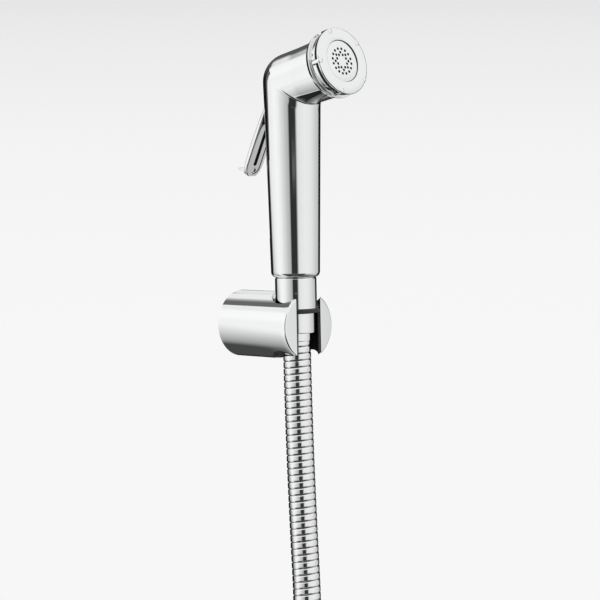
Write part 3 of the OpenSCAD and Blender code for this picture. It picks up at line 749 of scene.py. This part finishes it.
def make_handset(size):
    points, rows = handset_skin(size)
    faces = grid_faces(FINE, rows, False)
    faces.append([k * rows for k in range(FINE)])
    faces.append([k * rows + rows - 1 for k in range(FINE)])
    shell = mesh_object("handset_shell", points, faces, upright(0, GRIP_Y, ELBOW_Z))
    upper = rod("upper_bore", 12.1, VALVE_Z - 16, ELBOW_Z + 4, GRIP)
    cheeks = [box("cheek", (s * 3.8 if s > 0 else -16, 8.6, PIN_Z - 4.5), (16 if s > 0 else -3.8, 24, PIN_Z + 4.5),
                  GRIP) for s in (-1, 1)]
    combine(upper, "DIFFERENCE", *cheeks)
    step_z, top_z, foot_z = PIN_Z - 4.5, PIN_Z + 7, VALVE_Z - 2.7
    outline = [(-3.8, top_z), (-3.8, step_z)] + filleted([(-3.8, step_z, 0), (-6.3, step_z, 0.5), (-6.3, foot_z, 0)])[
        1:-1] + arc(0, foot_z, 6.3, 180, 360, 36) + filleted([(6.3, foot_z, 0), (6.3, step_z, 0.5), (3.8, step_z, 0)])[
        1:-1] + [(3.8, step_z), (3.8, top_z)]
    slot = prism("slot", outline, -30, -7.6, along((0, GRIP_Y, 0), 90))
    combine(shell, "DIFFERENCE",
            rod("lower_bore", 10, NECK_TOP_Z - 1, VALVE_Z - 15, GRIP), upper,
            rod("barrel_bore", size.barrel_radius - 2.9, -4, FACE_AT, HEAD), slot,
            rod("pin_hole", 1.26, -20, 20, PIN @ CROSSWISE, SMALL))
    fit(dress(shell, "chrome"), "root", "handset_body")


def paint(made, finish, place, test):
    """Gives another finish to the faces whose middle, as a point of a place, passes a test; here it lays on the painted
    shade.
    """
    made.data.materials.append(FINISH[finish])
    back = place.inverted()
    for face in made.data.polygons:
        if test(back @ (face.center / MM)):
            face.material_index = len(made.data.materials) - 1


def make_cap(size):
    """The screw cap: a flared flange, a band and the rounded face over a gap, with its lugs; the gap and the front
    recess's wall are painted black as shade.
    """
    r = size.cap_radius
    back = FACE_AT - size.cap_length
    bore = size.barrel_radius - 1.45
    gap_low, gap_high = FACE_AT - 3.2, FACE_AT - 1.2
    outline = filleted([
        (bore, back, 0), (16.9, back, 0), (16.9, back - 0.8, 0), (r - 0.75, back - 0.8, 0.15),
        (r + 0.1, back + 1.3, 0.5), (r + 0.1, back + 1.8, 0.3), (r - 1.5, back + 1.8, 0.1),
        (r - 1.5, back + 2.2, 0.1), (r - 1.0, back + 2.3, 0.2), (r - 0.5, gap_low, 0.15), (r - 0.8, gap_low, 0),
        (r - 0.8, gap_high, 0), (r, gap_high, 0.2), (r, FACE_AT, 0.85), (size.opening, FACE_AT, 0.3),
        (size.opening, FACE_AT - 1.5, 0), (bore, FACE_AT - 1.5, 0)])
    cap = lathe("spray_cap", outline, HEAD)
    low, high = FACE_AT - 5.4, FACE_AT + 0.25
    lug = lathe("cap_lug", [(0, low)] + arc(size.lug_radius - 0.4, low + 0.4, 0.4, -90, 0, 4)
                + arc(size.lug_radius - 0.8, high - 0.8, 0.8, 0, 90, 6) + [(0, high)], sides=32)
    dress(lug, "chrome")
    lugs = ring_of(lug, HEAD, size.lugs, r - 1.4, turn=180)
    combine(cap, "UNION", lugs)
    dress(cap, "chrome")
    # Painted shade: the gap under the face and the wall of the front recess are painted black
    paint(cap, "painted_shade", HEAD, lambda p: 15 < p.xy.length < r - 0.05 and gap_low - 0.05 < p.z < gap_high + 0.05)
    paint(cap, "painted_shade", HEAD, lambda p: p.xy.length < size.opening + 0.05 and p.z < FACE_AT - 0.3)
    fit(cap, "root", "cap_ring")


def make_disc(size):
    """The spray disc with its rings of jets, whose bores are painted black as shade."""
    edge = size.barrel_radius - 1.55
    front = FACE_AT - 0.65
    back = FACE_AT - 3.5
    outline = [(0, back), (edge, back), (edge, FACE_AT - 1.5), (size.opening - 0.15, FACE_AT - 1.5)]
    outline += filleted([(size.opening - 0.15, FACE_AT - 1.5, 0), (size.opening - 0.15, front, 0.2), (0, front, 0)])[1:]
    disc = lathe("spray_plate", outline, HEAD)
    dress(disc, "chrome")
    for count, radius, turn in ((16, 0.6, 11.25), (8, 0.425, 0), (8, 0.32, 22.5)):
        jet = rod("jet", size.jet_radius, front - 5, front + 1, sides=20)
        # The jet cutters are dressed in the painted shade for the bores they cut
        dress(jet, "painted_shade")
        combine(disc, "DIFFERENCE", ring_of(jet, HEAD, count, radius * size.opening, turn))
    # Painted shade: the walls of the jet bores are painted black
    paint(disc, "painted_shade", HEAD, lambda p: back + 0.01 < p.z < front - 0.25 and p.xy.length < size.opening - 1)
    fit(disc, "root", "spray_disc")


def make_neck():
    """The turned inlet neck with its spigot up into the grip."""
    top = NECK_HIGH.z / MM
    spigot, groove_z = 9.95, NECK_TOP_Z + 4
    outline = filleted([
        (8.35, NECK_Z, 0), (11.1, NECK_Z, 0.3), (11.1, NECK_TOP_Z, 0.8), (spigot, NECK_TOP_Z, 0),
        (spigot, groove_z, 0), (spigot - 1.75, groove_z, 0), (spigot - 1.75, groove_z + 2, 0),
        (spigot, groove_z + 2, 0), (spigot, top, 0.3), (4.55, top, 0), (4.55, top - 2, 0), (5.9, top - 2, 0),
        (5.9, top - 4, 0), (4.55, top - 4, 0), (4.55, top - 6, 0), (3.2, top - 6, 0), (3.2, NECK_Z + 11.8, 0),
        (8.35, NECK_Z + 11.8, 0)])
    fit(dress(lathe("inlet_collet", outline, GRIP), "chrome"), "root", "inlet_neck")


# The lever

def height_at(places, x):
    """A height between (place, height) pairs, with soft steps."""
    for (x0, y0), (x1, y1) in zip(places, places[1:]):
        if x <= x1:
            t = max(0, (x - x0) / (x1 - x0))
            return y0 + (y1 - y0) * t * t * (3 - 2 * t)
    return places[-1][1]


def paddle_half(n, s, size):
    """Half the paddle's width: a neck at the pin, shoulders, straight sides, an oval end and a narrowing lip."""
    half = size.width / 2
    wide = height_at(((6, 3.4), (8.5, half)), s)
    oval = size.length - 7.9
    if s > oval:
        wide = half * math.sqrt(1 - ((s - oval) / 8.0) ** 2)
    if n > 0:
        wide = min(wide, half * math.sqrt(1 - (n / 9.2) ** 2))
    return wide


def paddle_pairs(size):
    """Pairs of points (off the paddle, down the paddle) on its inner and outer face, from the pin to the lip's end."""
    inner = -1 - size.thickness / 2
    outer = inner + size.thickness
    off, down, r = 1.6, size.length - size.lip_radius, size.lip_radius
    throat_r = r - size.thickness
    corner = math.acos((off - inner) / r)
    throat = math.acos((off - outer) / throat_r)
    end = corner + math.radians(56)
    bow = ((3, 0), (7.4, -0.6), (16, 0.1), (28, 0.6), (34, 0.5), (41, 0.3), (45, 0))

    def on_lip(radius, turn):
        return Vector((off - radius * math.cos(turn), down + radius * math.sin(turn)))

    corner_s, throat_s = on_lip(r, corner).y, on_lip(throat_r, throat).y
    pairs = [(Vector((inner, corner_s * t)), Vector((outer + height_at(bow, throat_s * t), throat_s * t)))
             for t in steps(0, 1, 60)]
    pairs += [(on_lip(r, corner + (end - corner) * t), on_lip(throat_r, throat + (end - throat) * t))
              for t in steps(0, 1, 24)[1:]]
    tip, half = on_lip(r - size.thickness / 2, end), size.thickness / 2
    way = Vector((-math.cos(end), math.sin(end))) * half
    on = Vector((math.sin(end), math.cos(end))) * half
    for turn in steps(0, math.pi / 2, 8)[1:-1]:
        pairs.append((tip + way * math.cos(turn) + on * math.sin(turn), tip - way * math.cos(turn) + on * math.sin(turn)))
    return pairs


def paddle_section(inner, outer, size):
    """One section of the paddle between a pair of points, its four long edges rounded."""
    thick = (outer - inner).length
    edge = min(0.7, 0.45 * thick)
    part = edge / max(thick, 0.001)
    a = paddle_half(inner.x, inner.y, size) - edge
    b = paddle_half(outer.x, outer.y, size) - edge
    flat = [(x, 0) for x in steps(-a, a, 12)]
    round_in = [(a + edge * math.sin(t), part * (1 - math.cos(t))) for t in steps(0, math.pi / 2, 4)[1:]]
    round_out = [(b + edge * math.cos(t), 1 - part * (1 - math.sin(t))) for t in steps(0, math.pi / 2, 4)[:-1]]
    back = [(x, 1) for x in steps(b, -b, 12)]
    half = flat + round_in + round_out + back
    left = [(-x, f) for x, f in reversed(round_in + round_out)]
    return [(x, *(inner + (outer - inner) * f)) for x, f in half + left]


def stadium(half, start, end):
    """An outline down the paddle with round ends."""
    return arc(0, -start, half, 0, 180, 24) + arc(0, -end, half, 180, 360, 24)


def make_lever(size):
    """The lever: hub, nose and paddle, whose inner face has a dish, a groove and a pocket; the groove and the dish's
    rim wall are painted black as shade and dark reflection.
    """
    tilted = PIN @ Matrix.Rotation(size.tilt, 4, "X")
    sections = [paddle_section(*pair, size) for pair in paddle_pairs(size)]
    rows = len(sections[0])
    points = [(x, n, -s) for section in sections for x, n, s in section]
    faces = [[c * rows + r, (c + 1) * rows + r, (c + 1) * rows + (r + 1) % rows, c * rows + (r + 1) % rows]
             for c in range(len(sections) - 1) for r in range(rows)]
    faces += [list(range(rows)), list(range(len(points) - rows, len(points)))]
    paddle = mesh_object("squeeze_lever", points, faces, tilted)
    sideways = PIN @ Matrix(((0, 0, 1, 0), (1, 0, 0, 0), (0, 1, 0, 0), (0, 0, 0, 1)))
    hub_outline = filleted([(0, -3.4, 0), (3.4, -3.4, 0.4), (3.4, 3.4, 0.4), (0, 3.4, 0)])
    back = 13.8 * math.tan(size.tilt)
    combine(paddle, "UNION",
            lathe("hub", hub_outline, PIN @ CROSSWISE, SMALL),
            prism("nose", [(-2.4, 0), (-1.8, -12), (1.8, -12), (back, -13.8), (2.4, 0)], -3.4, 3.4, sideways),
            rod("nose_end", 1.8, -3.4, 3.4, sideways @ upright(0, -12), SMALL))
    face = tilted @ along((0, -1 - size.thickness / 2, 0), 90)
    pocket = size.length - 4.2
    combine(paddle, "DIFFERENCE",
            rod("bore", 1.3, -8, 8, PIN @ CROSSWISE, SMALL),
            prism("dish", stadium(4.1, 20, pocket - 2), -0.35, 1, face),
            prism("groove", stadium(size.groove_width / 2, 20, pocket - 4), -size.groove_depth, 1, face),
            rod("pocket", 2, -1, 1, face @ upright(0, -pocket), SMALL))
    dress(paddle, "chrome")
    # Painted shade and reflection: the groove's floor and walls, then the dish's rim wall, are painted black where real
    # chrome shows shade and dark reflections
    paint(paddle, "painted_shade", face, lambda p: abs(p.x) < size.groove_width and 19 < -p.y < pocket - 2 and (
        -size.groove_depth - 0.05 < p.z < -0.4))
    paint(paddle, "painted_shade", face, lambda p: abs(p.x) < 4.3 and 15 < -p.y < pocket + 3 and -0.33 < p.z < -0.02)
    fit(paddle, "lever", "lever")


# The wall holder

def make_holder():
    radius = HOLDER_HIGH.x / MM
    length = -HOLDER_LOW.y / MM
    edge = 0.9
    rows = [(radius, y) for y in steps(0, length - edge, 16)]
    outline = [(0, 0)] + rows[:-1] + arc(radius - edge, length - edge, edge, 0, 90, 8) + [(0, length)]
    body = lathe("holder_shell", outline, OUT_OF_WALL)
    combine(body, "DIFFERENCE",
            rod("socket", 12.9, -20, 20, GRIP), rod("hollow", 14, -1, 20, OUT_OF_WALL),
            rod("grub_hole", 2.05, -20, 0, upright(0, -4.5), SMALL),
            box("key_way", (-2.05, 0, -3.05), (2.05, 14.1, 3.05), GRIP))
    fit(dress(body, "chrome"), "root", "holder_body")


# The fittings on the hose

def make_fittings():
    """The turned fitting and ferrule under the handset."""
    top = LEDGE_Z
    low = top - 10.9
    tail = low - 4.3
    outline = filleted([(4, tail, 0), (6.2, tail, 0), (6.2, low, 0), (10, low, 0.45), (10, top, 0.45),
                        (8.25, top, 0), (8.25, NECK_Z + 8.8, 0), (4, NECK_Z + 8.8, 0)])
    fit(dress(lathe("hose_swivel", outline, GRIP), "chrome"), "root", "hose_top_fitting")
    sleeve = filleted([(6.25, tail, 0), (7.8, tail, 0.3), (7.8, low, 0.2), (6.25, low, 0)])
    fit(dress(lathe("swivel_ferrule", sleeve, GRIP), "chrome"), "root", "hose_top_ferrule")


def dress_frame():
    """Gives every frame node that still shows the finish of its slot."""
    for part in frame["record"]["subparts"]:
        node = nodes[part["node"]]
        if not node.hide_render:
            node.data.materials.clear()
            node.data.materials.append(FINISH[part["material_slot"]])


# The studio

def make_camera(settings):
    a, p, r = settings.azimuth, settings.pitch, settings.roll
    back = Vector((math.sin(a) * math.cos(p), -math.cos(a) * math.cos(p), math.sin(p)))
    right = (-back).cross(Vector((0, 0, 1))).normalized()
    up = right.cross(-back)
    lean_right = right * math.cos(r) - up * math.sin(r)
    lean_up = up * math.cos(r) + right * math.sin(r)
    camera = bpy.data.objects.new("camera", bpy.data.cameras.new("camera"))
    bpy.context.scene.collection.objects.link(camera)
    camera.data.sensor_width = 36
    camera.data.lens = settings.lens
    camera.data.clip_end = 50
    camera.matrix_world = Matrix.Translation(Vector(settings.target) + back * settings.distance) @ Matrix(
        (lean_right, lean_up, back)).transposed().to_4x4()
    bpy.context.scene.camera = camera


def backdrop_level(w, settings):
    """The backdrop's brightness, a little less towards the picture's top."""
    up = w.node("ShaderNodeSeparateXYZ", values={"Vector": w.node("ShaderNodeTexCoord", out="Window")}, out="Y")
    return settings.backdrop - up ** 5 * 0.14


def make_world(settings):
    """Even light for what is matt, a pale backdrop, and for what is polished a white tent with dark flags."""
    world = bpy.data.worlds.new("studio")
    bpy.context.scene.world = world
    world.use_nodes = True
    tree = world.node_tree
    tree.nodes.clear()
    w = Wire(tree)
    way = w.node("ShaderNodeTexCoord", out="Generated")
    a = settings.azimuth
    front = w.vector("DOT_PRODUCT", way, (math.sin(a), -math.cos(a), 0), out="Value")
    right = w.vector("DOT_PRODUCT", way, (math.cos(a), math.sin(a), 0), out="Value")
    round_angle = w.math("ARCTAN2", right, front) * (180 / math.pi)
    height = w.node("ShaderNodeSeparateXYZ", values={"Vector": way}, out="Z")
    lift = height.math("ARCSINE", height) * (180 / math.pi)

    level_strip = [(-180, 0), (-131, 0), (-122, 0.88), (-115, 0.92), (-94, 0.98), (-81, 1.03), (-70, 1.0),
                   (-60, 0.93), (-50, 0.8), (-40, 0.7), (-31, 0.57), (-24, 0.52), (-19, 0.4), (-16, 0.02), (9, 0.02),
                   (14, 0.55), (18, 0.82), (32, 0.885), (51, 0.92), (66, 0.9), (83, 0.87), (128, 0.82), (136, 0.1),
                   (139, 0), (180, 0)]
    level_light = round_angle.ramp(-180, 180, level_strip)
    fall = round_angle.window(70, 125, 170, 180) * (1 - lift.smooth(2, 14)) * 0.26
    patch = round_angle.window(-8, -4, 6, 9) * lift.window(-3.7, -3.1, -2.8, -2.2) * 0.09
    band = lift.window(-30, -18, 30, 35)
    glow = lift.window(5, 20, 34, 40) * 0.09
    dip = round_angle.window(78, 85, 98, 105) * lift.window(5, 9, 16, 20) * 0.07
    tent = (level_light * (1 - fall) + patch - dip) * band + (1 - band) * 0.93 + glow * band + 0.012
    under = (1 - lift.smooth(-58, -12)) * round_angle.smooth(-90, -55)
    edge = round_angle.window(106, 120, 175, 180) * lift.window(0, 6, 24, 30)
    behind = round_angle.smooth(118, 150) * lift.window(-75, -60, -26, -12)
    low = round_angle.window(-80, -62, 45, 62) * lift.window(-72, -60, -27, -17)
    tent = tent * (1 - under * 0.85) * (1 - edge * 0.85) * (1 - behind * 0.8) * (1 - low * 0.85)

    path = w.node("ShaderNodeLightPath", out="Is Camera Ray")
    seen = path
    glossy = path.other("Is Glossy Ray")
    level = settings.fill + (tent - settings.fill) * glossy
    level = level + (backdrop_level(w, settings) - level) * seen
    light = w.node("ShaderNodeBackground", values={"Color": (1, 1, 1, 1), "Strength": level})
    sink = tree.nodes.new("ShaderNodeOutputWorld")
    tree.links.new(light.socket, sink.inputs["Surface"])


def make_floor(settings):
    """A pale round floor under the object that fades into the backdrop."""
    low = CAD_BOX[0]
    radius = 0.9
    floor = rod("floor", radius / MM, low.z / MM - 6, low.z / MM - 4, sides=96)

    def build(w):
        place = w.node("ShaderNodeTexCoord", out="Object")
        far = w.vector("LENGTH", place, out="Value")
        fade = far.smooth(0.35, 0.85)
        pale = w.node("ShaderNodeBsdfDiffuse", values={"Color": (0.9, 0.9, 0.9, 1)})
        plain = w.node("ShaderNodeEmission", values={"Strength": backdrop_level(w, settings)})
        return w.node("ShaderNodeMixShader", values={0: fade, 1: pale, 2: plain})
    floor.data.materials.append(material("floor", build))
    floor.visible_glossy = False
    floor.visible_diffuse = False


def make_card(name, low, high, depth, build):
    """An upright card behind the object that only polished surfaces see."""
    (x0, z0), (x1, z1) = low, high
    card = mesh_object(name, [(x0, depth, z0), (x1, depth, z0), (x1, depth, z1), (x0, depth, z1)], [[0, 1, 2, 3]])
    card.data.materials.append(material(name, build))
    for ray in ("camera", "diffuse", "shadow", "transmission", "volume_scatter"):
        setattr(card, "visible_" + ray, False)


def card_place(w):
    """X and Z on a card, in millimetres."""
    place = w.node("ShaderNodeSeparateXYZ", values={"Vector": at_object(w, 1 / MM)})
    return place, place.other("Z")


def make_cards():
    """A soft round flag low behind the object, and a flag and a light for the top of the holder."""
    def low_flag(w):
        x, z = card_place(w)
        beside = x - x.math("MINIMUM", x.math("MAXIMUM", x, 0.0), 170.0)
        far = (beside ** 2 + (z + 190) ** 2) ** 0.5
        shade = far.ramp(0, 290, [(0, 0.07), (55, 0.07), (78, 0.186), (100, 0.34), (131, 0.467), (182, 0.65),
                                  (227, 0.79), (268, 0.95), (290, 1)])
        return w.node("ShaderNodeBsdfTransparent", values={"Color": shade})

    def top_flag(w):
        x, z = card_place(w)
        lean = (x + 12.5) / (z - 12.5)
        shade = lean.ramp(-0.6, 0.4, [(-0.6, 1), (-0.45, 1), (-0.43, 0.16), (-0.1, 0.16), (0.07, 0.5), (0.2, 0.95),
                                      (0.3, 1)])
        return w.node("ShaderNodeBsdfTransparent", values={"Color": shade})

    def top_light(w):
        return w.node("ShaderNodeEmission", values={"Strength": 0.85})

    make_card("low_flag", (-290, -480), (460, 100), 200, low_flag)
    make_card("top_flag", (-110, 85), (60, 200), 100, top_flag)
    make_card("top_light", (60, 40), (170, 118), 100, top_light)


def make_lamp():
    """One broad soft lamp from the upper left."""
    light = bpy.data.lights.new("soft_lamp", "AREA")
    light.shape = "DISK"
    light.size = 1.5
    light.energy = 14
    lamp = bpy.data.objects.new("soft_lamp", light)
    bpy.context.scene.collection.objects.link(lamp)
    lamp.location = (-1.1, -1.2, 1.5)
    lamp.rotation_mode = "QUATERNION"
    lamp.rotation_quaternion = (-Vector(lamp.location)).to_track_quat("-Z", "Y")
    lamp.visible_glossy = False


class BIDET_OT_stage(bpy.types.Operator):
    """Makes the camera, the light and the floor"""

    bl_idname = "bidet.stage"
    bl_label = "Studio"

    def execute(self, context):
        settings = context.scene.bidet_stage
        context.scene.view_settings.view_transform = "Standard"
        make_camera(settings)
        make_world(settings)
        make_floor(settings)
        make_cards()
        make_lamp()
        return {"FINISHED"}


class BIDET_OT_finishes(bpy.types.Operator):
    """Makes the finishes that the pieces share"""

    bl_idname = "bidet.finishes"
    bl_label = "Finishes"

    def execute(self, context):
        make_finishes(context.scene.bidet_finish)
        return {"FINISHED"}


class BIDET_OT_hose(bpy.types.Operator):
    bl_idname = "bidet.hose"
    bl_label = "Hose"

    def execute(self, context):
        settings = context.scene.bidet_hose
        hose, path = make_hose(settings)
        round(path_length(path), 3)
        return {"FINISHED"}


class BIDET_OT_handset(bpy.types.Operator):
    """Makes the handset's shell, neck, cap and disc"""

    bl_idname = "bidet.handset"
    bl_label = "Handset"

    def execute(self, context):
        size = context.scene.bidet_handset
        make_handset(size)
        make_neck()
        make_cap(size)
        make_disc(size)
        make_lever(context.scene.bidet_lever)
        return {"FINISHED"}


class BIDET_OT_holder(bpy.types.Operator):
    """Makes the wall holder"""

    bl_idname = "bidet.holder"
    bl_label = "Wall holder"

    def execute(self, context):
        make_holder()
        return {"FINISHED"}


class BIDET_OT_fittings(bpy.types.Operator):
    """Makes the hose's fittings and dresses what is left of the frame"""

    bl_idname = "bidet.fittings"
    bl_label = "Fittings"

    def execute(self, context):
        make_fittings()
        dress_frame()
        return {"FINISHED"}


class BIDET_PT_panel(bpy.types.Panel):
    """Lists the steps in the sidebar"""

    bl_idname = "BIDET_PT_panel"
    bl_label = "Bidet Shower"
    bl_space_type = "VIEW_3D"
    bl_region_type = "UI"
    bl_category = "Bidet Shower"

    def draw(self, context):
        for step in STEPS:
            self.layout.operator(step.bl_idname)
        for name in SETTINGS:
            group = getattr(context.scene, name)
            for key in group.bl_rna.properties.keys():
                if key not in ("name", "rna_type"):
                    self.layout.prop(group, key)


STEPS = [BIDET_OT_finishes, BIDET_OT_stage, BIDET_OT_hose, BIDET_OT_handset, BIDET_OT_holder, BIDET_OT_fittings]
SETTINGS = {
    "bidet_stage": StageSettings,
    "bidet_finish": FinishSettings,
    "bidet_hose": HoseSettings,
    "bidet_handset": HandsetSettings,
    "bidet_lever": LeverSettings,
}
CLASSES = [*SETTINGS.values(), *STEPS, BIDET_PT_panel]


def register():
    for item in CLASSES:
        bpy.utils.register_class(item)
    for name, group in SETTINGS.items():
        setattr(bpy.types.Scene, name, PointerProperty(type=group))


def unregister():
    for name in SETTINGS:
        delattr(bpy.types.Scene, name)
    for item in reversed(CLASSES):
        bpy.utils.unregister_class(item)


def main():
    register()
    bpy.ops.bidet.finishes()
    bpy.ops.bidet.stage()
    bpy.ops.bidet.hose()
    bpy.ops.bidet.handset()
    bpy.ops.bidet.holder()
    bpy.ops.bidet.fittings()


if __name__ == "__main__":
    main()
